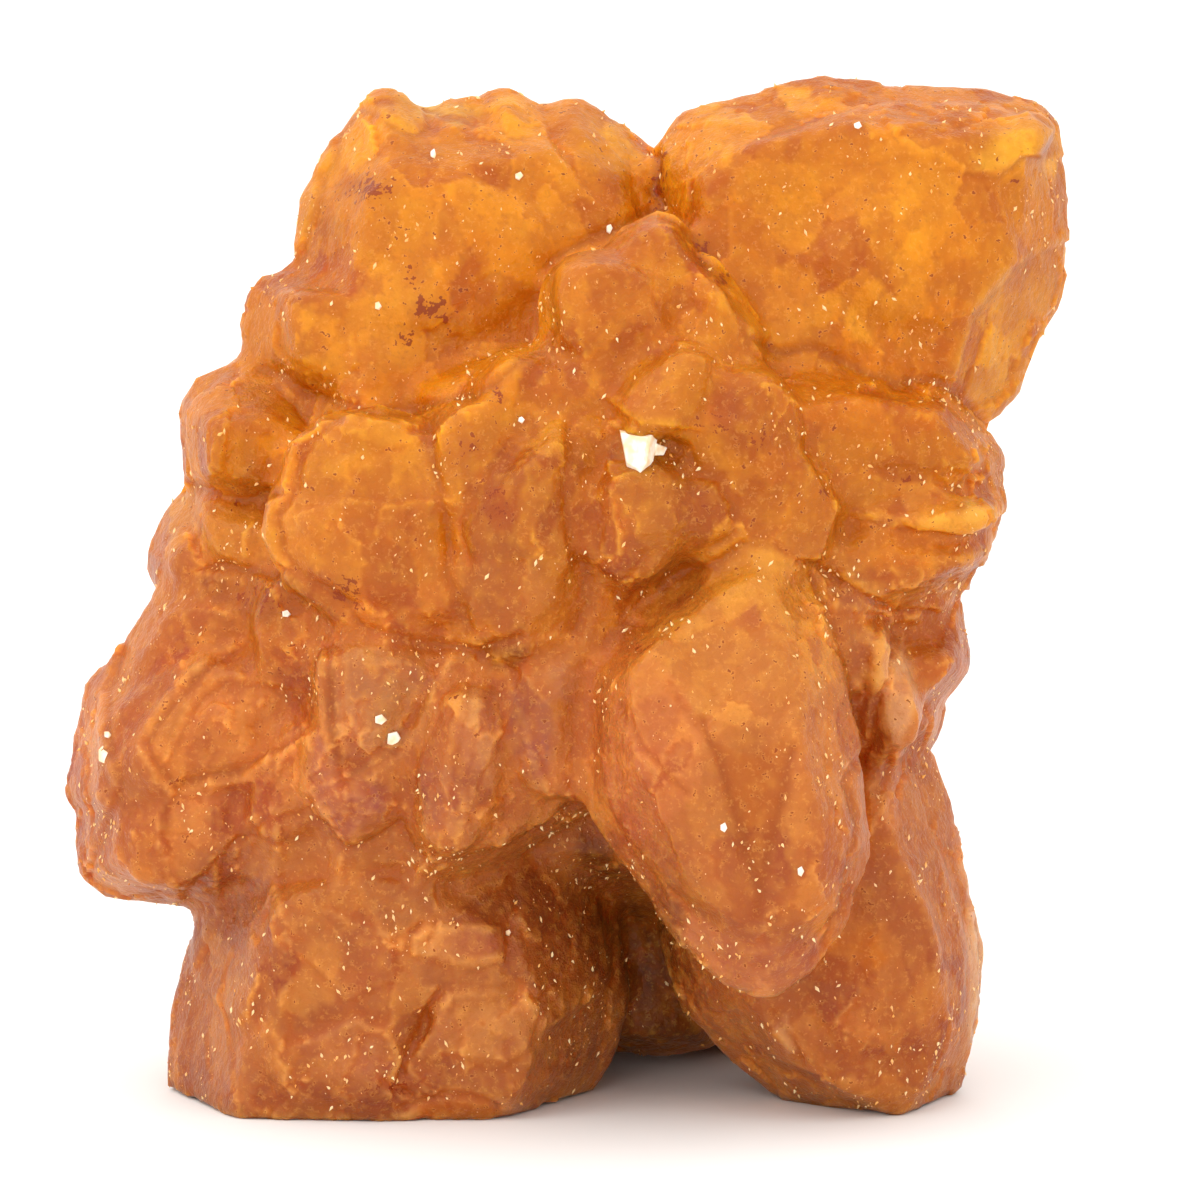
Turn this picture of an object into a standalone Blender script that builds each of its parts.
# A citrine specimen: a cluster of quartz crystals that grew together into one stone.
# Millimetres are used while the crystals are cut; the finished mesh is in metres, +Z up.
# The front of the stone faces -Y. Each crystal is the space between flat faces, and the
# crystals are then joined into one solid, which stands on flat feet at z = 0.

import math

import bmesh
import bpy
from mathutils import Matrix, Vector

# Driving dimensions, in millimetres unless a name says degrees.
MM = 0.001
EYE_DISTANCE = 380.0          # from the eye to the middle of the stone
EYE_RISE_DEGREES = 8.0        # how far the eye looks down on it
AIM_X = 1.48                  # the point that the eye looks at, on the drawing plane
AIM_V = 23.73
AIM_HEIGHT = 22.0             # height of that point above the floor
STOCK_SIZE = 160.0            # block that each crystal is cut from
SLOPE_DEGREES = 63.0          # usual slope of a rim face off the crystal's outline
BACK_SLOPE_DEGREES = 76.0
NEIGHBOUR_GROW = 0.4          # how far inner crystals run into their neighbours
END_ON_DEGREES = 76.0         # side of a short crystal that points at the eye
PLATE_WALL_DEGREES = 84.0     # wall of a raised growth plate
RHOMB_DEGREES = 51.8          # quartz end faces, off the plane across the axis
CUT_TOLERANCE = 0.00001       # a corner this close to a cut is on it
MERGE_DISTANCE = 0.004        # corners closer than this become one
FLAT_ANGLE = 0.002            # faces that turn less than this (radians) are one face

# Main faces of a crystal, each by how far it turns to the right and up.
FLAT = ((0.0, 0.0),)
RIDGE_UPRIGHT = ((-0.42, 0.05), (0.38, -0.05))
RIDGE_LEVEL = ((0.05, 0.35), (-0.05, -0.4))
THREE_UP = ((-0.45, 0.2), (0.45, 0.25), (0.0, -0.5))
THREE_DOWN = ((-0.4, -0.3), (0.45, -0.2), (0.0, 0.5))
THREE_LEFT = ((-0.55, 0.0), (0.3, 0.4), (0.35, -0.4))
THREE_RIGHT = ((0.55, 0.05), (-0.3, 0.4), (-0.35, -0.35))
BACK_END = ((0.5, 0.35), (-0.45, 0.4), (0.05, -0.5))

CITRINE = (0.80, 0.36, 0.08, 1.0)


def clear_scene():
    """Remove the objects that are in the scene already."""
    for item in list(bpy.data.objects):
        bpy.data.objects.remove(item, do_unlink=True)


def eye_point():
    """Where the eye is, in the stone's frame."""
    rise = math.radians(EYE_RISE_DEGREES)
    height = AIM_HEIGHT + EYE_DISTANCE * math.sin(rise)
    return Vector((AIM_X, -EYE_DISTANCE * math.cos(rise), height))


def carried(x, v, plane_point, plane_normal):
    """The point on a plane that the eye sees at (x, v) of the drawing plane."""
    rise = math.radians(EYE_RISE_DEGREES)
    up = v - AIM_V
    drawn = Vector((x, up * math.sin(rise), AIM_HEIGHT + up * math.cos(rise)))
    eye = eye_point()
    ray = drawn - eye
    reach = (plane_point - eye).dot(plane_normal) / ray.dot(plane_normal)
    return eye + ray * reach


def cut_solid(planes):
    """The space behind every plane (point, outward normal), as a mesh."""
    work = bmesh.new()
    bmesh.ops.create_cube(work, size=STOCK_SIZE, matrix=Matrix.Translation((0.0, 0.0, AIM_HEIGHT)))
    for point, normal in planes:
        cut = bmesh.ops.bisect_plane(
            work,
            geom=work.verts[:] + work.edges[:] + work.faces[:],
            dist=CUT_TOLERANCE,
            plane_co=point,
            plane_no=normal,
            clear_outer=True,
        )
        rim = [part for part in cut["geom_cut"] if isinstance(part, bmesh.types.BMEdge)]
        if rim:
            bmesh.ops.contextual_create(work, geom=rim)
    bmesh.ops.remove_doubles(work, verts=work.verts[:], dist=MERGE_DISTANCE)
    bmesh.ops.dissolve_limit(work, angle_limit=FLAT_ANGLE, verts=work.verts[:], edges=work.edges[:])
    bmesh.ops.triangulate(work, faces=work.faces[:])
    bmesh.ops.recalc_face_normals(work, faces=work.faces[:])
    mesh = bpy.data.meshes.new("crystal")
    work.to_mesh(mesh)
    work.free()
    return mesh


class Crystal:
    """A crystal drawn by its outline, as the eye sees it.

    outline  corners (x, v) on the drawing plane, in order
    depth    y of the outline's plane under the outline's middle
    lean     how much y grows for each mm to the right and each mm up
    beside   another crystal whose outline's plane is used in place of depth and lean
    front    distance from the outline's plane to the point where the main faces meet
    back     distance from the outline's plane to the tip of the back end
    faces    main faces, each by how far it turns to the right and up
    slopes   slope of the rim in degrees, one for all or one for each edge
    grow     how far the outline is let out, so that neighbours run into each other
    """

    def __init__(self, outline, depth=0.0, front=4.0, back=8.0, lean=(0.0, 0.0), beside=None,
                 faces=FLAT, slopes=SLOPE_DEGREES, back_slopes=BACK_SLOPE_DEGREES, grow=0.0):
        middle_x = sum(x for x, v in outline) / len(outline)
        middle_v = sum(v for x, v in outline) / len(outline)
        if beside:
            self.facing = beside.facing
            self.middle = carried(middle_x, middle_v, beside.middle, beside.facing)
        else:
            upright = Vector((0.0, -1.0, 0.0))
            self.facing = Vector((lean[0], -1.0, lean[1])).normalized()
            self.middle = carried(middle_x, middle_v, Vector((0.0, depth, 0.0)), upright)
        self.front = front
        self.back = back
        self.faces = faces
        self.outline = outline
        self.slopes = self.spread(slopes)
        self.back_slopes = self.spread(back_slopes)
        self.grow = grow

    def spread(self, slopes):
        """One slope for each edge of the outline."""
        if isinstance(slopes, (int, float)):
            return [slopes] * len(self.outline)
        return slopes

    def edges(self, outline):
        """Each edge of an outline: a point on it and its normal in the outline's plane."""
        corners = [carried(x, v, self.middle, self.facing) for x, v in outline]
        centre = sum(corners, Vector()) / len(corners)
        found = []
        for start, end in zip(corners, corners[1:] + corners[:1]):
            outward = (end - start).cross(self.facing).normalized()
            if outward.dot(start - centre) < 0.0:
                outward.negate()
            found.append((start, outward))
        return found

    def front_planes(self, rise=0.0):
        """Main faces and rim faces, moved out by a rise."""
        meeting = self.middle + self.facing * self.front
        planes = []
        for across, up in self.faces:
            normal = (self.facing + Vector((across, 0.0, up))).normalized()
            planes.append((meeting + normal * rise, normal))
        for (point, outward), slope in zip(self.edges(self.outline), self.slopes):
            angle = math.radians(slope)
            normal = outward * math.sin(angle) + self.facing * math.cos(angle)
            planes.append((point + outward * self.grow + normal * rise, normal))
        return planes

    def solid(self):
        """The whole crystal."""
        planes = self.front_planes()
        for across, up in BACK_END:
            normal = (Vector((across, 0.0, up)) - self.facing).normalized()
            planes.append((self.middle - self.facing * self.back, normal))
        for (point, outward), slope in zip(self.edges(self.outline), self.back_slopes):
            angle = math.radians(slope)
            normal = outward * math.sin(angle) - self.facing * math.cos(angle)
            planes.append((point + outward * self.grow, normal))
        return cut_solid(planes)

    def plate(self, footprint, rise):
        """A growth plate that stands up from the main faces by a rise."""
        planes = self.front_planes(rise)
        planes.append((self.middle, -self.facing))
        angle = math.radians(PLATE_WALL_DEGREES)
        for point, outward in self.edges(footprint):
            normal = outward * math.sin(angle) + self.facing * math.cos(angle)
            planes.append((point + self.facing * self.front, normal))
        return cut_solid(planes)


def quartz(root, tip, width, flatness=1.0, turn=0.0, ends=(0.0, 0.0, 0.0, 0.0, 0.0, 0.0)):
    """A six-sided quartz crystal from its root to its tip.

    width is across the flats, flatness squeezes it one way, turn rolls it about its axis in
    degrees, and ends holds back each of the six end faces by so many mm.
    """
    root = Vector(root)
    axis = Vector(tip) - root
    length = axis.length
    axis.normalize()
    side = axis.cross(Vector((0.0, 0.0, 1.0))).normalized()
    over = axis.cross(side)
    planes = [(root, -axis)]
    end_angle = math.radians(RHOMB_DEGREES)
    for number, held_back in enumerate(ends):
        angle = math.radians(turn + 60.0 * number)
        outward = side * math.cos(angle) + over * math.sin(angle)
        reach = 0.5 * width * (1.0 - (1.0 - flatness) * abs(math.sin(angle)))
        planes.append((root + outward * reach, outward))
        normal = outward * math.sin(end_angle) + axis * math.cos(end_angle)
        planes.append((root + axis * (length - held_back), normal))
    return cut_solid(planes)


def heart():
    """The mass in the middle that all the crystals grow from, domed towards the eye."""
    mass = Crystal(
        [(-15.5, 32.0), (-10.0, 36.0), (0.0, 38.0), (8.0, 37.0), (13.6, 32.5), (15.2, 28.0),
         (14.6, 20.0), (12.4, 12.0), (8.0, 8.5), (-4.0, 9.0), (-13.0, 11.0), (-18.0, 15.5),
         (-18.2, 21.0), (-17.0, 27.5)],
        depth=-0.5, front=7.0, back=13.0, slopes=56, back_slopes=52)
    dome = Crystal(
        [(-13.0, 31.0), (-6.0, 33.4), (1.0, 35.0), (8.0, 35.4), (13.2, 32.5), (14.4, 27.0),
         (13.0, 22.0), (7.0, 16.5), (0.0, 13.0), (-7.0, 13.0), (-12.0, 15.5), (-14.0, 22.0),
         (-14.2, 27.5)],
        depth=-6.0, front=5.2, back=4.0, slopes=50)
    return [mass.solid(), dome.solid()]


def top_left_crystals():
    """The broad glowing crystal at the top left, with the lobes along its rim."""
    broad = Crystal(
        [(-12.4, 39.0), (-12.1, 41.9), (-10.9, 44.2), (-9.2, 46.0), (-6.5, 46.3), (-1.0, 46.3),
         (1.6, 45.7), (3.7, 44.1), (4.9, 41.2), (5.6, 37.0), (3.0, 31.0), (-4.0, 28.5),
         (-11.0, 29.0), (-13.4, 33.0)],
        depth=-0.4, lean=(0.05, 0.28), front=5.4, back=9.0,
        faces=((-0.12, 0.06), (0.2, 0.24), (0.1, -0.1)),
        slopes=[60, 58, 56, 54, 52, 52, 54, 58, 66, 70, 72, 72, 70, 64])
    shoulder = Crystal(
        [(-14.85, 34.7), (-14.9, 36.3), (-14.6, 37.7), (-14.0, 38.6), (-12.6, 39.0),
         (-7.0, 40.5), (-3.0, 34.0), (-7.0, 29.0), (-13.8, 31.6)],
        beside=broad, front=4.6, faces=((-0.12, 0.0),), slopes=60)
    left_lobe = Crystal(
        [(-12.5, 39.0), (-12.35, 40.6), (-12.15, 42.2), (-11.6, 42.9), (-8.0, 42.8),
         (-6.8, 40.0), (-9.0, 37.4), (-12.0, 37.8)],
        beside=broad, front=4.4, faces=((-0.15, 0.05),), slopes=58)
    second_lobe = Crystal(
        [(-11.6, 42.6), (-11.5, 43.4), (-11.3, 43.9), (-10.9, 44.6), (-10.1, 45.6),
         (-7.0, 44.6), (-6.6, 41.6), (-9.5, 40.6)],
        beside=broad, front=4.6, faces=((-0.15, 0.1),), slopes=57)
    corner = Crystal(
        [(-10.2, 45.4), (-9.4, 46.3), (-8.4, 46.9), (-7.6, 46.8), (-3.8, 45.2), (-3.4, 42.6),
         (-7.4, 41.0), (-10.4, 43.4)],
        beside=broad, front=5.0, faces=((-0.2, -0.05), (0.25, 0.35)),
        slopes=[60, 58, 56, 54, 50, 60, 60, 60])
    third_lobe = Crystal(
        [(-7.0, 46.0), (-5.6, 46.65), (-4.7, 46.6), (-3.4, 45.9), (-1.6, 42.6), (-4.4, 40.6),
         (-7.4, 43.4)],
        beside=broad, front=4.8, faces=((-0.05, 0.2),), slopes=54)
    peak_lobe = Crystal(
        [(-4.6, 46.1), (-3.8, 46.9), (-3.2, 47.15), (-2.3, 47.05), (-1.2, 46.2), (1.2, 41.8),
         (-0.8, 39.8), (-4.4, 43.0)],
        beside=broad, front=5.2, faces=((-0.2, 0.1), (0.2, 0.2)), slopes=54)
    wide_lobe = Crystal(
        [(-2.0, 45.9), (-0.5, 46.6), (0.4, 46.7), (1.3, 46.35), (2.8, 45.1), (4.0, 41.4),
         (1.8, 39.0), (-1.4, 42.0)],
        beside=broad, front=5.0, faces=((-0.1, 0.2), (0.25, 0.15)), slopes=54)
    right_lobe = Crystal(
        [(1.3, 46.1), (2.7, 45.35), (3.75, 44.1), (4.9, 41.0), (3.4, 38.6), (0.6, 40.4),
         (0.0, 43.8)],
        beside=broad, front=4.8, faces=((0.2, 0.1),), slopes=57)
    made = [broad, shoulder, left_lobe, second_lobe, corner, third_lobe, peak_lobe, wide_lobe,
            right_lobe]
    return [crystal.solid() for crystal in made] + [
        broad.plate([(-9.4, 41.4), (-5.0, 42.0), (-1.4, 40.2), (-1.6, 37.4), (-4.6, 35.0),
                     (-8.6, 35.8)], 0.4),
        shoulder.plate([(-13.0, 37.2), (-9.6, 36.6), (-8.4, 34.0), (-9.2, 32.4),
                        (-12.6, 34.0)], 0.3),
    ]


def top_right_crystals():
    """The largest crystal, which points up and to the right, and its twins behind."""
    large = Crystal(
        [(3.9, 44.1), (5.1, 45.8), (6.5, 46.45), (11.3, 47.6), (18.2, 47.05), (21.7, 46.4),
         (22.5, 45.2), (22.95, 40.5), (22.3, 37.3), (20.4, 33.2), (17.6, 29.6), (11.0, 28.6),
         (6.0, 31.6), (4.2, 38.5)],
        depth=-0.6, lean=(0.1, 0.2), front=5.8, back=9.5,
        faces=((-0.12, 0.12), (0.22, -0.1)),
        slopes=[60, 58, 56, 58, 60, 62, 62, 56, 52, 54, 66, 72, 72, 70])
    twin = Crystal(
        [(22.8, 40.0), (22.3, 37.2), (21.0, 34.5), (19.6, 33.2), (16.0, 32.6), (14.5, 36.5),
         (18.5, 41.0)],
        depth=1.0, lean=(0.15, 0.1), front=4.4, slopes=[54, 52, 54, 66, 66, 66, 66])
    low_twin = Crystal(
        [(20.4, 34.2), (19.85, 33.0), (19.2, 31.2), (16.0, 30.8), (14.0, 33.5), (17.0, 36.0)],
        depth=0.4, lean=(0.15, 0.0), front=4.4, slopes=[56, 56, 66, 66, 66, 66])
    return [
        large.solid(), twin.solid(), low_twin.solid(),
        large.plate([(7.6, 43.8), (13.5, 45.6), (19.4, 45.4), (20.2, 42.6), (16.0, 41.8),
                     (9.0, 41.2)], 0.45),
        large.plate([(12.4, 41.4), (18.4, 41.6), (19.8, 38.6), (17.2, 36.0), (13.0, 36.4),
                     (10.8, 38.6)], 0.85),
        large.plate([(19.8, 45.0), (20.9, 45.3), (21.5, 44.8), (21.1, 43.8), (19.9, 43.4)], 0.8),
    ]


def left_crystals():
    """The knobs and the large crystal that point to the left."""
    knob = Crystal(
        [(-17.35, 28.9), (-17.55, 31.0), (-17.6, 32.4), (-17.1, 33.5), (-15.9, 34.25),
         (-14.4, 34.6), (-12.6, 34.2), (-9.6, 31.8), (-9.8, 28.6), (-12.4, 27.4),
         (-16.4, 27.9)],
        depth=-3.2, lean=(-0.18, 0.12), front=5.0, back=8.0, faces=((-0.4, 0.15), (0.35, 0.0)),
        slopes=[64, 62, 60, 60, 62, 62, 66, 70, 70, 70, 68])
    low_knob = Crystal(
        [(-17.2, 28.8), (-18.3, 27.9), (-18.95, 26.3), (-19.2, 25.2), (-18.8, 24.3),
         (-14.0, 21.5), (-10.0, 24.0), (-11.0, 28.6)],
        depth=-2.0, lean=(-0.24, 0.0), front=4.4, back=8.0, faces=RIDGE_LEVEL, slopes=62)
    lumps = Crystal(
        [(-16.8, 28.9), (-13.1, 28.8), (-10.4, 26.9), (-10.6, 24.6), (-14.2, 24.2),
         (-16.4, 25.2), (-17.0, 27.5)],
        depth=-5.0, lean=(-0.2, 0.05), front=3.2, faces=((-0.25, 0.2), (0.15, -0.15)),
        slopes=66)
    shelf = Crystal(
        [(-18.8, 24.4), (-20.3, 21.9), (-20.95, 20.9), (-20.9, 20.3), (-18.0, 19.2),
         (-13.2, 18.4), (-9.0, 20.6), (-9.2, 24.6), (-13.5, 25.4), (-16.5, 25.4)],
        depth=-4.4, lean=(-0.24, -0.02), front=3.2, back=7.0, faces=((-0.2, 0.2), (0.1, -0.15)),
        slopes=[58, 58, 60, 70, 74, 74, 70, 70, 66, 62])
    large = Crystal(
        [(-17.4, 23.4), (-21.9, 20.1), (-22.15, 19.0), (-22.5, 17.3), (-22.95, 15.2),
         (-22.7, 14.6), (-21.9, 14.0), (-18.0, 11.0), (-12.0, 10.6), (-8.0, 14.0),
         (-8.0, 21.0), (-12.4, 23.8)],
        depth=-3.2, lean=(-0.22, 0.02), front=5.4, back=9.0, faces=((-0.12, 0.2), (0.08, -0.15)),
        slopes=[64, 60, 60, 60, 62, 64, 70, 74, 72, 70, 70, 66])
    lower = Crystal(
        [(-22.2, 14.4), (-22.35, 12.7), (-22.15, 11.5), (-21.4, 10.6), (-20.2, 10.1),
         (-17.1, 9.8), (-13.0, 10.2), (-9.6, 14.0), (-15.0, 18.6), (-21.0, 17.0)],
        depth=-3.2, lean=(-0.22, -0.03), front=5.4, back=8.0, faces=((-0.15, 0.0), (0.15, -0.1)),
        slopes=[58, 58, 58, 60, 64, 66, 62, 66, 74, 66])
    return [crystal.solid() for crystal in (knob, low_knob, lumps, shelf, large, lower)] + [
        knob.plate([(-16.7, 32.2), (-15.4, 33.4), (-14.4, 31.0), (-14.9, 29.6),
                    (-16.5, 29.8)], 0.3),
        large.plate([(-19.3, 17.0), (-15.2, 21.4), (-12.3, 20.7), (-11.7, 18.2),
                     (-12.3, 16.9), (-17.9, 15.2)], 0.6),
        large.plate([(-18.3, 17.2), (-16.1, 19.7), (-12.9, 19.6), (-12.6, 17.4),
                     (-17.2, 15.9)], 1.0),
        lower.plate([(-18.2, 14.6), (-14.6, 15.4), (-13.9, 13.4), (-16.6, 11.4),
                     (-18.2, 12.0)], 0.45),
    ]


def base_block():
    """The rough block at the lower left that carries most of the weight."""
    block = Crystal(
        [(-17.0, 9.9), (-17.8, 5.9), (-18.25, 4.4), (-18.3, 2.4), (-18.2, 1.2), (-17.4, -0.8),
         (-3.0, -1.8), (-0.3, -0.7), (1.2, 1.1), (2.35, 3.2), (2.95, 5.8), (2.3, 9.2),
         (0.3, 14.5), (-6.0, 15.5), (-11.3, 14.8), (-15.4, 12.2)],
        depth=-3.4, lean=(-0.02, 0.02), front=7.2, back=9.0,
        faces=((-0.1, 0.02), (0.12, 0.0)),
        slopes=[60, 60, 62, 66, 72, 80, 80, 72, 62, 58, 56, 56, 60, 68, 66, 62])
    return [
        block.solid(),
        block.plate([(-5.3, 6.4), (-2.0, 6.2), (-1.3, 3.9), (-2.2, 2.2), (-4.6, 1.9),
                     (-6.2, 3.0), (-5.9, 5.0)], 0.6),
        block.plate([(-12.8, 7.4), (-7.4, 6.4), (-6.9, 4.2), (-7.8, 2.2), (-11.9, 2.4),
                     (-13.6, 4.6)], 0.55),
        block.plate([(-13.0, 11.4), (-8.0, 12.4), (-3.2, 10.2), (-2.6, 7.2), (-6.0, 6.4),
                     (-12.8, 6.6)], 0.7),
        block.plate([(-16.0, 9.8), (-13.8, 11.2), (-13.2, 7.8), (-14.6, 5.6),
                     (-16.3, 7.0)], 0.45),
        block.plate([(-1.6, 11.8), (0.6, 11.2), (1.4, 7.0), (-0.6, 5.4), (-2.2, 8.4)], 0.5),
    ]


def centre_crystals():
    """The short crystals of the middle, whose ends point at the eye."""
    end_on = {"slopes": END_ON_DEGREES, "grow": NEIGHBOUR_GROW}
    made = [
        # The two broad ones at the left, and the small one under them.
        Crystal([(-12.4, 30.6), (-10.8, 31.9), (-8.8, 32.3), (-7.0, 31.8), (-6.0, 30.2),
                 (-5.8, 28.0), (-7.5, 27.0), (-10.0, 27.0), (-12.8, 28.4)],
                depth=-10.0, lean=(-0.2, 0.14), front=3.2,
                faces=((-0.25, 0.2), (0.3, 0.15), (0.0, -0.25)), **end_on),
        Crystal([(-13.2, 28.6), (-9.0, 29.0), (-5.7, 28.4), (-5.0, 25.5), (-5.2, 23.5),
                 (-7.0, 22.2), (-9.5, 22.4), (-12.4, 24.8), (-13.5, 26.8)],
                depth=-10.6, lean=(-0.2, 0.0), front=3.2,
                faces=((-0.2, 0.05), (0.18, 0.05), (0.0, -0.3)), **end_on),
        Crystal([(-10.8, 24.4), (-5.2, 24.8), (-4.0, 22.6), (-5.4, 21.1), (-8.5, 21.3),
                 (-11.2, 22.2)],
                depth=-10.8, lean=(-0.1, -0.12), front=2.6, faces=RIDGE_UPRIGHT, **end_on),
        # The three violet ones beside them.
        Crystal([(-6.1, 31.2), (-5.0, 32.5), (-3.0, 33.0), (-1.4, 31.8), (-1.5, 28.6),
                 (-2.8, 26.2), (-4.8, 25.6), (-5.8, 27.0), (-6.3, 28.8)],
                depth=-11.0, lean=(-0.05, 0.1), front=3.2, faces=THREE_UP, **end_on),
        Crystal([(-2.7, 30.2), (-0.2, 31.9), (0.4, 29.5), (0.5, 26.5), (-0.3, 24.0),
                 (-2.4, 23.4), (-4.4, 24.8), (-4.8, 27.4)],
                depth=-11.8, lean=(0.05, 0.0), front=3.4,
                faces=((-0.4, 0.08), (0.3, 0.1), (0.0, -0.35)), **end_on),
        Crystal([(-5.0, 26.0), (-0.8, 25.8), (0.6, 24.0), (-0.2, 22.1), (-2.6, 21.5),
                 (-4.9, 22.4)],
                depth=-11.4, lean=(0.0, -0.1), front=3.2, faces=THREE_DOWN, **end_on),
        Crystal([(-0.9, 25.0), (1.6, 25.6), (2.8, 23.6), (1.6, 21.4), (-0.9, 21.2)],
                depth=-11.0, front=2.6, faces=RIDGE_UPRIGHT, **end_on),
        # The brown and rosy ones at the right.
        Crystal([(0.8, 28.3), (2.2, 29.8), (3.9, 30.2), (5.2, 29.4), (5.5, 27.6), (4.7, 25.6),
                 (3.0, 24.4), (1.3, 25.2)],
                depth=-12.2, front=3.2, faces=THREE_LEFT, **end_on),
        Crystal([(5.1, 27.3), (5.3, 28.8), (6.4, 29.5), (7.6, 29.1), (8.0, 27.8), (7.3, 26.0),
                 (6.0, 25.6)],
                depth=-12.0, lean=(0.1, 0.0), front=2.5, faces=THREE_UP, **end_on),
        Crystal([(4.6, 31.2), (5.4, 33.1), (7.0, 34.2), (8.7, 34.2), (10.1, 33.0),
                 (10.6, 31.3), (9.9, 29.3), (8.0, 28.6), (6.0, 28.9)],
                depth=-11.0, lean=(0.15, 0.1), front=3.4, faces=THREE_RIGHT, **end_on),
        Crystal([(7.4, 29.8), (10.7, 30.4), (12.0, 28.2), (11.3, 25.8), (9.2, 25.0),
                 (7.5, 25.8), (7.1, 28.2)],
                depth=-11.0, lean=(0.18, 0.0), front=3.0, faces=RIDGE_UPRIGHT, **end_on),
        Crystal([(2.0, 32.5), (3.1, 34.2), (5.0, 35.6), (6.8, 35.0), (6.2, 33.0), (5.0, 31.0),
                 (2.6, 30.8)],
                depth=-10.8, lean=(0.05, 0.12), front=3.6, faces=((0.08, 0.05), (-0.45, 0.2)),
                **end_on),
        # The buds under the upper knob, on a low saddle.
        Crystal([(-0.1, 33.0), (0.0, 33.8), (0.6, 34.5), (1.6, 34.5), (2.3, 33.9),
                 (2.4, 33.0), (1.8, 32.3), (0.5, 32.3)],
                depth=-11.0, lean=(0.0, 0.1), front=1.7, faces=THREE_UP, **end_on),
        Crystal([(-2.0, 33.2), (-1.4, 34.1), (-0.5, 34.1), (0.1, 33.2), (-0.5, 32.1),
                 (-1.5, 32.2)],
                depth=-10.8, lean=(0.0, 0.1), front=1.6, faces=RIDGE_UPRIGHT, **end_on),
        Crystal([(-3.9, 33.5), (-2.8, 34.7), (-1.2, 35.0), (-1.3, 33.2), (-2.2, 31.8),
                 (-3.7, 32.0)],
                depth=-9.8, lean=(-0.05, 0.15), front=2.4, faces=RIDGE_UPRIGHT, **end_on),
        Crystal([(-6.8, 33.4), (-2.6, 35.2), (2.0, 35.4), (4.4, 34.4), (5.6, 30.0),
                 (-0.5, 28.6), (-6.0, 30.6)],
                depth=-8.0, lean=(0.0, 0.08), front=3.8, slopes=60),
    ]
    broad = made[1]
    return [crystal.solid() for crystal in made] + [
        broad.plate([(-11.4, 27.6), (-6.8, 27.4), (-6.4, 25.4), (-8.0, 24.0),
                     (-11.0, 25.6)], 0.3),
    ]


def upper_knob():
    """The rounded knob between the two top crystals."""
    back = Crystal(
        [(1.5, 39.7), (2.9, 41.05), (4.4, 41.45), (5.3, 40.9), (6.0, 39.6), (6.8, 38.2),
         (6.6, 35.6), (4.5, 35.0), (2.0, 36.2)],
        depth=-7.0, lean=(0.05, 0.2), front=3.6,
        faces=((-0.3, 0.1), (0.35, 0.05)), slopes=74)
    front = Crystal(
        [(-0.7, 38.6), (0.5, 39.35), (2.2, 39.3), (3.9, 38.5), (4.9, 36.6), (4.4, 34.5),
         (2.4, 33.4), (0.7, 34.0), (-0.9, 35.4), (-0.9, 37.2)],
        depth=-8.8, lean=(0.0, 0.16), front=3.6, grow=NEIGHBOUR_GROW,
        faces=((-0.25, 0.08), (0.2, 0.18), (0.05, -0.25)), slopes=74)
    right = Crystal(
        [(5.0, 38.2), (6.3, 38.9), (7.6, 37.6), (8.8, 35.6), (8.4, 33.4), (6.0, 33.4),
         (4.4, 35.4)],
        depth=-8.6, lean=(0.1, 0.14), front=3.0, grow=NEIGHBOUR_GROW,
        faces=RIDGE_UPRIGHT, slopes=72)
    return [back.solid(), front.solid(), right.solid()]


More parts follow.
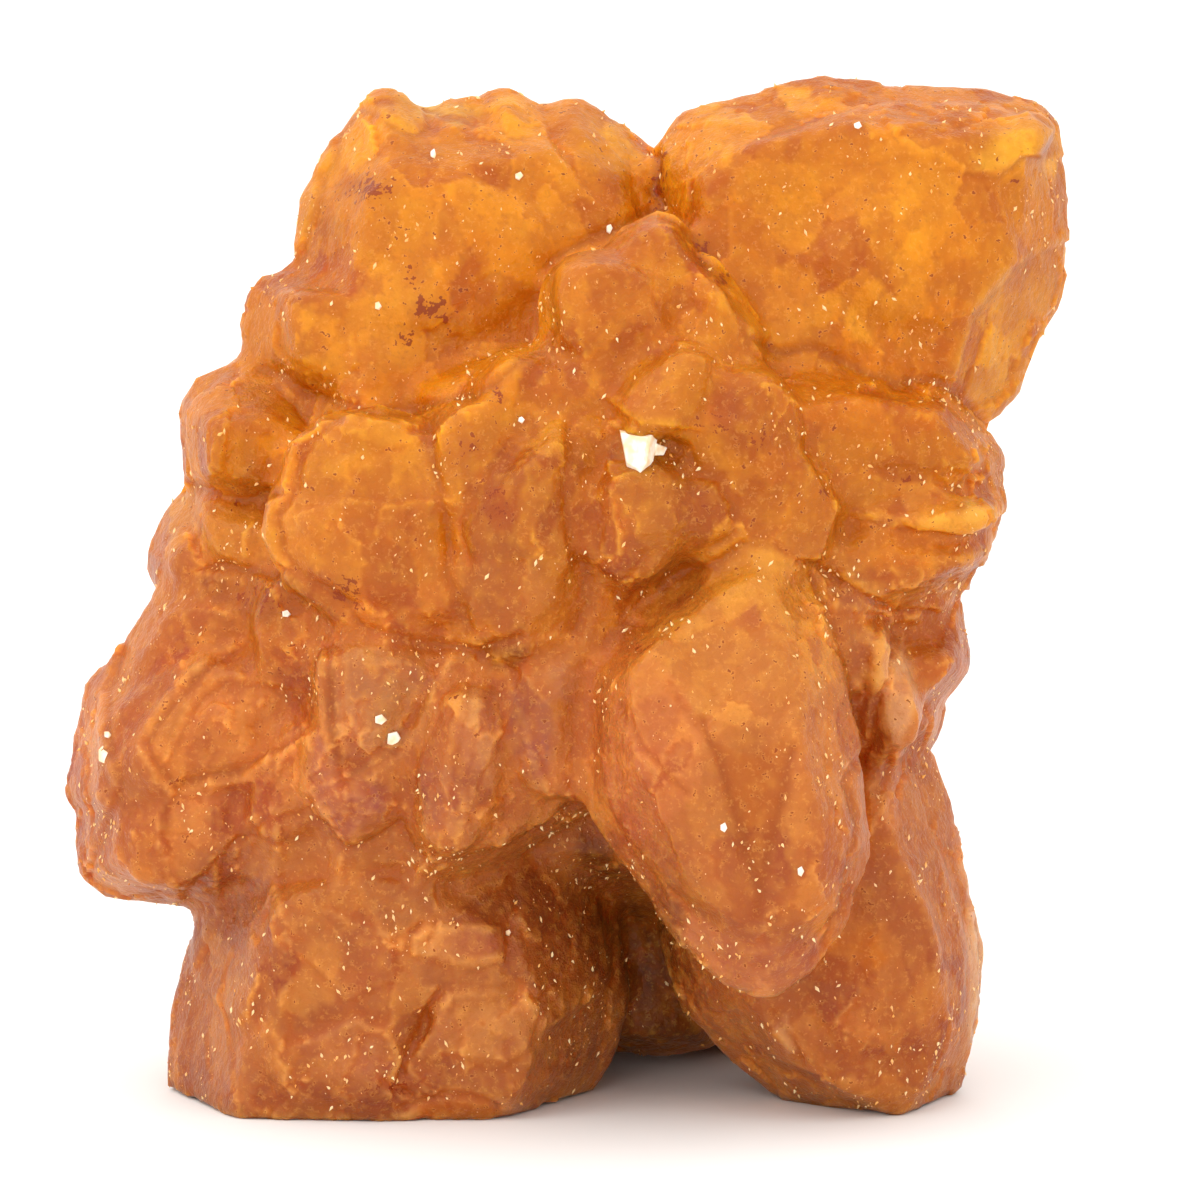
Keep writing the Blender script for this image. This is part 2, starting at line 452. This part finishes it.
def right_crystals():
    """The layered crystals that point to the right, and the pink ones beside the spear."""
    brow = Crystal(
        [(7.2, 33.2), (9.2, 34.6), (12.5, 34.5), (16.0, 33.9), (18.3, 32.9), (19.3, 31.4),
         (20.05, 30.6), (19.9, 29.3), (17.5, 27.8), (11.0, 27.0), (7.6, 29.6)],
        depth=-6.2, lean=(0.3, 0.08), front=4.4, faces=((0.1, 0.25), (0.0, -0.15)),
        slopes=[66, 68, 66, 64, 62, 58, 58, 64, 70, 70, 66])
    ledge = Crystal(
        [(10.6, 29.6), (17.3, 29.9), (19.5, 29.4), (19.95, 28.4), (19.6, 27.1), (17.8, 26.0),
         (12.0, 25.6), (10.2, 27.6)],
        depth=-6.4, lean=(0.3, 0.0), front=4.6, faces=((0.05, 0.3), (0.1, -0.3)), slopes=64)
    tongue = Crystal(
        [(9.6, 27.4), (12.4, 29.2), (17.8, 28.2), (19.6, 27.2), (19.45, 26.3), (18.7, 25.1),
         (15.2, 23.4), (11.4, 22.4), (9.2, 24.6)],
        depth=-6.8, lean=(0.3, -0.05), front=4.4, faces=((-0.1, 0.2), (0.15, -0.25)), slopes=64)
    fin = Crystal(
        [(12.4, 25.4), (18.3, 25.2), (18.35, 24.4), (17.9, 23.8), (16.8, 22.4),
         (14.0, 22.0), (12.2, 23.4)],
        depth=-5.6, lean=(0.28, -0.05), front=4.2, slopes=64)
    flank = Crystal(
        [(11.6, 24.2), (18.0, 24.0), (18.25, 22.4), (18.45, 21.2), (18.3, 20.4),
         (17.3, 19.4), (15.0, 17.4), (11.2, 19.0)],
        depth=-4.6, lean=(0.3, -0.03), front=4.6, faces=((-0.1, 0.1), (0.3, -0.1)), slopes=62)
    heel = Crystal(
        [(12.0, 20.8), (17.2, 20.6), (17.05, 18.6), (16.8, 17.4), (16.2, 16.8),
         (12.4, 15.6)],
        depth=-4.0, lean=(0.28, 0.0), front=4.0, slopes=64)
    pink_top = Crystal(
        [(11.0, 25.2), (12.5, 24.6), (13.9, 23.6), (14.3, 22.6), (14.1, 20.3), (13.0, 18.4),
         (11.4, 20.5)],
        depth=-8.4, lean=(0.3, 0.0), front=3.4, faces=((-0.2, 0.1), (0.4, 0.0)), slopes=68)
    pink_low = Crystal(
        [(13.6, 23.2), (14.8, 21.9), (15.6, 20.6), (16.05, 19.1), (15.8, 17.9),
         (15.0, 16.0), (12.4, 15.8), (11.6, 19.5)],
        depth=-7.4, lean=(0.3, 0.0), front=4.0, faces=((-0.15, -0.05), (0.5, 0.05)), slopes=68)
    made = [brow, ledge, tongue, fin, flank, heel, pink_top, pink_low]
    return [crystal.solid() for crystal in made] + [
        brow.plate([(11.4, 33.2), (16.0, 32.6), (17.8, 31.0), (16.8, 29.8), (12.4, 30.2)], 0.4),
        ledge.plate([(14.2, 28.8), (16.8, 29.0), (18.0, 27.9), (14.4, 27.4)], 0.4),
        pink_low.plate([(14.3, 21.4), (15.1, 20.3), (15.3, 18.8), (14.6, 17.6),
                        (13.9, 18.6)], 0.35),
        pink_top.plate([(12.2, 23.0), (13.2, 22.2), (13.4, 20.6), (12.6, 20.2)], 0.3),
    ]


def spear():
    """The big spear-shaped crystal in front, whose tip comes down towards the eye."""
    body = Crystal(
        [(0.4, 20.6), (1.5, 22.0), (3.4, 23.5), (5.4, 25.2), (8.3, 26.4), (9.6, 26.3),
         (11.0, 25.1), (12.3, 22.2), (13.3, 17.3), (13.9, 12.3), (12.6, 8.7), (11.0, 6.8),
         (9.2, 5.6), (7.0, 6.5), (4.3, 9.3), (0.9, 13.9), (0.35, 17.0)],
        depth=-13.0, lean=(0.0, 0.30), front=5.6, back=9.0,
        faces=((-0.22, 0.02), (0.24, 0.0), (0.0, -0.35), (0.0, 0.3)),
        slopes=[60, 62, 62, 62, 62, 62, 62, 60, 58, 58, 56, 54, 54, 56, 58, 60, 60])
    return [
        body.solid(),
        body.plate([(1.8, 19.0), (4.4, 21.4), (6.5, 17.0), (8.6, 10.9), (8.6, 8.6),
                    (4.9, 10.6), (1.8, 14.8)], 0.4),
        body.plate([(11.4, 22.4), (12.0, 20.4), (12.8, 16.6), (12.9, 12.6), (11.6, 9.4),
                    (9.4, 8.6), (9.0, 10.9), (10.1, 16.8)], 0.45),
    ]


def lower_middle_crystals():
    """The two striated violet crystals over the block, and their neighbours."""
    left_point = Crystal(
        [(-11.2, 21.2), (-10.1, 22.0), (-8.0, 22.05), (-6.9, 21.7), (-5.6, 20.9),
         (-6.1, 19.4), (-7.2, 17.0), (-9.9, 15.3), (-10.8, 16.8)],
        depth=-11.0, lean=(-0.1, -0.08), front=2.6, faces=((-0.1, 0.0), (0.3, -0.25)),
        grow=NEIGHBOUR_GROW, slopes=[78, 76, 76, 76, 74, 74, 70, 66, 74])
    left_base = Crystal(
        [(-11.5, 18.6), (-11.9, 15.9), (-11.0, 13.6), (-10.1, 12.1), (-8.2, 13.1),
         (-6.8, 14.2), (-6.4, 17.5), (-8.0, 20.0)],
        depth=-9.8, lean=(-0.1, -0.12), front=2.8, faces=((-0.3, -0.1), (0.3, -0.1)),
        grow=NEIGHBOUR_GROW, slopes=[72, 68, 60, 60, 62, 66, 72, 72])
    right_point = Crystal(
        [(-6.8, 16.4), (-5.4, 20.0), (-3.6, 20.2), (-2.7, 18.2), (-2.9, 15.9), (-4.0, 13.2),
         (-5.2, 12.4), (-6.4, 13.4)],
        depth=-11.4, lean=(0.0, -0.1), front=2.6, faces=((-0.4, 0.0), (0.15, -0.05)),
        grow=NEIGHBOUR_GROW, slopes=74)
    right_base = Crystal(
        [(-7.2, 14.4), (-6.2, 17.5), (-3.0, 18.0), (-0.4, 15.2), (-3.0, 12.3), (-5.2, 11.3),
         (-6.9, 11.2)],
        depth=-9.8, lean=(0.0, -0.12), front=3.0, faces=((-0.3, 0.0), (0.25, -0.2)),
        grow=NEIGHBOUR_GROW, slopes=[70, 74, 74, 66, 60, 60, 66])
    violet = Crystal(
        [(-2.9, 18.4), (-2.4, 20.6), (-0.4, 21.6), (0.9, 20.8), (1.2, 17.2), (0.0, 15.0),
         (-1.9, 15.4)],
        depth=-11.4, lean=(0.1, -0.05), front=2.6, faces=((-0.3, 0.0), (0.35, 0.0)),
        grow=NEIGHBOUR_GROW, slopes=74)
    bridge = Crystal(
        [(-5.8, 22.6), (-2.2, 23.0), (-0.6, 21.6), (-1.8, 18.6), (-4.6, 18.2), (-6.2, 20.4)],
        depth=-10.6, lean=(0.0, -0.05), front=2.4, faces=RIDGE_LEVEL, grow=NEIGHBOUR_GROW,
        slopes=72)
    wedge = Crystal(
        [(-14.0, 17.0), (-12.4, 19.4), (-9.8, 18.4), (-9.8, 14.2), (-12.5, 12.2),
         (-14.6, 13.4)],
        depth=-8.2, lean=(-0.25, -0.05), front=2.6, faces=RIDGE_UPRIGHT, slopes=68)
    flank = Crystal(
        [(-13.4, 25.4), (-10.0, 25.0), (-9.6, 20.0), (-12.2, 18.2), (-14.0, 20.0),
         (-14.4, 23.6)],
        depth=-8.6, lean=(-0.3, 0.0), front=2.6, faces=RIDGE_LEVEL, slopes=66)
    apron = Crystal(
        [(-3.6, 17.8), (0.6, 17.4), (1.6, 14.4), (-2.6, 11.8), (-6.0, 11.4)],
        depth=-9.0, lean=(0.0, -0.12), front=2.8, slopes=60)
    made = [left_point, left_base, right_point, right_base, violet, bridge, wedge, flank, apron]
    return [crystal.solid() for crystal in made] + [
        left_point.plate([(-10.3, 21.2), (-7.6, 21.2), (-7.2, 20.0), (-8.5, 17.6),
                          (-9.8, 16.9)], 0.25),
        right_point.plate([(-5.2, 19.0), (-3.9, 19.1), (-3.5, 16.2), (-4.6, 14.2),
                           (-5.3, 15.8)], 0.25),
    ]


def lower_right_crystals():
    """The large crystal that is the right foot, and the dark one in the recess."""
    large = Crystal(
        [(4.2, 8.4), (5.1, 5.0), (7.2, 3.0), (9.3, 1.1), (12.6, -0.4), (16.3, -0.4),
         (17.9, 1.7), (18.8, 4.4), (19.1, 7.9), (18.2, 11.4), (17.2, 15.0), (16.2, 17.3),
         (13.0, 19.0), (7.0, 15.0)],
        depth=-5.0, lean=(0.16, -0.02), front=5.4, back=9.0, faces=((-0.15, 0.05), (0.2, -0.05)),
        slopes=[62, 62, 62, 66, 70, 66, 56, 56, 56, 56, 58, 64, 66, 62])
    recess = Crystal(
        [(-0.5, 15.5), (3.5, 14.5), (7.0, 10.0), (7.8, 6.0), (6.8, 3.3), (4.2, 2.9),
         (1.6, 2.95), (0.5, 6.0)],
        depth=1.6, front=3.4, back=7.0, faces=RIDGE_UPRIGHT)
    return [
        large.solid(), recess.solid(),
        large.plate([(7.0, 7.6), (8.8, 3.8), (12.6, 2.2), (15.6, 2.6), (17.0, 5.2),
                     (17.2, 8.5), (16.2, 12.6), (12.0, 13.0)], 0.35),
        large.plate([(12.4, 12.2), (15.4, 11.0), (16.0, 8.0), (15.0, 4.8), (11.4, 4.6),
                     (9.6, 8.2)], 0.7),
    ]


def hidden_crystals():
    """The crystals of the sides, the back and the top that turn away from the eye."""
    return [
        quartz((0, 2, 26), (-4, 17.5, 34), 15, 0.85, 10, (0.0, 2.0, 0.5, 2.5, 0.0, 1.5)),
        quartz((4, 2, 26), (9, 18.0, 31), 14, 0.9, 35, (1.0, 0.0, 2.0, 0.0, 1.5, 0.5)),
        quartz((-2, 2, 20), (-8, 17.0, 21), 14, 0.9, 20, (0.0, 1.5, 0.0, 2.0, 0.0, 1.0)),
        quartz((3, 2, 18), (4, 18.5, 17), 15, 0.85, 0, (0.0, 2.0, 0.5, 0.0, 2.5, 1.0)),
        quartz((-4, 1, 16), (-11, 14.0, 10), 12, 0.9, 25, (1.0, 0.0, 1.5, 0.0, 0.5, 2.0)),
        quartz((5, 1, 18), (13.0, 13.0, 12), 13, 0.9, 15, (0.0, 1.0, 0.0, 2.0, 1.0, 0.0)),
        quartz((6, 0, 24), (16.0, 11.5, 24), 12, 0.9, 40, (0.5, 0.0, 2.0, 0.0, 1.0, 1.5)),
        quartz((-5, 0, 26), (-14.5, 11.5, 29), 11, 0.9, 5, (0.0, 1.5, 0.0, 1.0, 2.0, 0.0)),
        quartz((-6, 0, 20), (-17.0, 9.5, 18), 11, 0.9, 30, (1.0, 0.0, 0.5, 2.0, 0.0, 1.0)),
        quartz((0, 4, 20), (-2, 12.5, -4), 12, 0.9, 12, (0.0, 1.0, 0.0, 1.0, 0.0, 1.0)),
        quartz((4, 4, 20), (9, 10.0, -3), 11, 0.9, 33, (0.0, 1.0, 0.0, 1.0, 0.0, 1.0)),
        quartz((-2, 3, 30), (-7, 11.0, 42), 12, 0.9, 22, (0.0, 2.0, 0.0, 1.5, 0.5, 1.0)),
        quartz((6, 3, 30), (12, 11.5, 40), 13, 0.9, 50, (1.0, 0.0, 2.0, 0.0, 1.0, 0.0)),
        quartz((2, 2, 30), (2, 9.0, 40), 9, 0.95, 18, (0.0, 1.0, 0.0, 1.5, 0.0, 0.5)),
        quartz((8, 0, 29), (19.0, 3.0, 30.5), 9, 0.9, 10, (0.0, 1.0, 0.5, 0.0, 1.5, 0.5)),
        quartz((8, -1, 24), (19.2, 1.5, 24.4), 9, 0.9, 42, (0.0, 1.5, 0.0, 1.0, 0.5, 0.0)),
        quartz((8, 0, 19), (18.2, 2.5, 19.4), 9, 0.9, 28, (0.5, 0.0, 1.0, 0.0, 1.0, 0.0)),
        quartz((8, 1, 26), (18.4, 6.0, 27.6), 9, 0.9, 5, (0.0, 0.5, 0.0, 1.0, 0.5, 1.0)),
        quartz((7, 1, 15), (15.8, 4.5, 15.0), 9, 0.9, 17, (0.0, 1.0, 0.0, 0.5, 0.0, 1.0)),
        quartz((-7, -1, 30), (-16.2, 3.5, 32.0), 9, 0.9, 14, (0.0, 1.0, 0.5, 0.0, 1.0, 0.5)),
        quartz((-8, -1, 24), (-18.6, 3.5, 25.4), 10, 0.9, 38, (0.5, 0.0, 1.0, 0.5, 0.0, 1.0)),
        quartz((-8, 0, 16), (-21.4, 3.5, 17.2), 10, 0.9, 22, (0.0, 1.0, 0.0, 0.5, 1.0, 0.0)),
        quartz((-7, 1, 28), (-16.4, 6.0, 29.4), 9, 0.9, 0, (0.5, 0.0, 1.0, 0.0, 0.5, 0.0)),
    ]


def joined(meshes):
    """All the crystals as one closed mesh."""
    holder = bpy.data.collections.new("crystals")
    bpy.context.scene.collection.children.link(holder)
    for mesh in meshes[1:]:
        holder.objects.link(bpy.data.objects.new("crystal", mesh))
    body = bpy.data.objects.new("joined", meshes[0])
    bpy.context.scene.collection.objects.link(body)
    union = body.modifiers.new("union", "BOOLEAN")
    union.operation = "UNION"
    union.operand_type = "COLLECTION"
    union.collection = holder
    union.solver = "EXACT"
    graph = bpy.context.evaluated_depsgraph_get()
    result = bpy.data.meshes.new_from_object(body.evaluated_get(graph))
    for item in list(holder.objects) + [body]:
        bpy.data.objects.remove(item, do_unlink=True)
    bpy.data.collections.remove(holder)
    return result


def drop_pockets(work):
    """Fill the small closed pockets that are left where crystals meet inside the stone."""
    unseen = set(work.verts)
    pieces = []
    while unseen:
        piece = set()
        front = [unseen.pop()]
        while front:
            corner = front.pop()
            piece.add(corner)
            for edge in corner.link_edges:
                other = edge.other_vert(corner)
                if other in unseen:
                    unseen.remove(other)
                    front.append(other)
        pieces.append(piece)
    pieces.sort(key=len)
    for piece in pieces[:-1]:
        bmesh.ops.delete(work, geom=list(piece), context="VERTS")
    print("pockets filled", len(pieces) - 1)


def stood_on_floor(mesh):
    """Cut the feet flat, clean the joints, and put the middle of the footprint at the origin."""
    work = bmesh.new()
    work.from_mesh(mesh)
    cut = bmesh.ops.bisect_plane(
        work,
        geom=work.verts[:] + work.edges[:] + work.faces[:],
        dist=CUT_TOLERANCE,
        plane_co=(0.0, 0.0, 0.0),
        plane_no=(0.0, 0.0, -1.0),
        clear_outer=True,
    )
    rim = [part for part in cut["geom_cut"] if isinstance(part, bmesh.types.BMEdge)]
    bmesh.ops.holes_fill(work, edges=rim, sides=0)
    bmesh.ops.remove_doubles(work, verts=work.verts[:], dist=MERGE_DISTANCE)
    bmesh.ops.dissolve_degenerate(work, edges=work.edges[:], dist=MERGE_DISTANCE)
    drop_pockets(work)
    bmesh.ops.triangulate(work, faces=work.faces[:])
    bmesh.ops.recalc_face_normals(work, faces=work.faces[:])
    low = [min(corner.co[axis] for corner in work.verts) for axis in range(3)]
    high = [max(corner.co[axis] for corner in work.verts) for axis in range(3)]
    shift = Vector((-(low[0] + high[0]) / 2, -(low[1] + high[1]) / 2, -low[2]))
    bmesh.ops.translate(work, verts=work.verts[:], vec=shift)
    bmesh.ops.scale(work, verts=work.verts[:], vec=(MM, MM, MM))
    work.to_mesh(mesh)
    work.free()
    print("size in mm", [round(b - a, 2) for a, b in zip(low, high)])
    print("moved by mm", [round(value, 3) for value in shift])
    print("triangles", len(mesh.polygons))
    return mesh


def citrine():
    """The stone's own material."""
    made = bpy.data.materials.new("citrine")
    made.use_nodes = True
    shader = made.node_tree.nodes["Principled BSDF"]
    shader.inputs["Base Color"].default_value = CITRINE
    shader.inputs["Roughness"].default_value = 0.35
    shader.inputs["Metallic"].default_value = 0.0
    made.diffuse_color = CITRINE
    return made


def main():
    clear_scene()
    crystals = heart()
    for group in (top_left_crystals, top_right_crystals, left_crystals, base_block,
                  centre_crystals, upper_knob, right_crystals, spear,
                  lower_middle_crystals, lower_right_crystals, hidden_crystals):
        crystals += group()
    print("crystals and plates", len(crystals))
    mesh = stood_on_floor(joined(crystals))
    mesh.materials.clear()
    mesh.materials.append(citrine())
    cluster = bpy.data.objects.new("citrine_cluster", mesh)
    bpy.context.scene.collection.objects.link(cluster)


main()
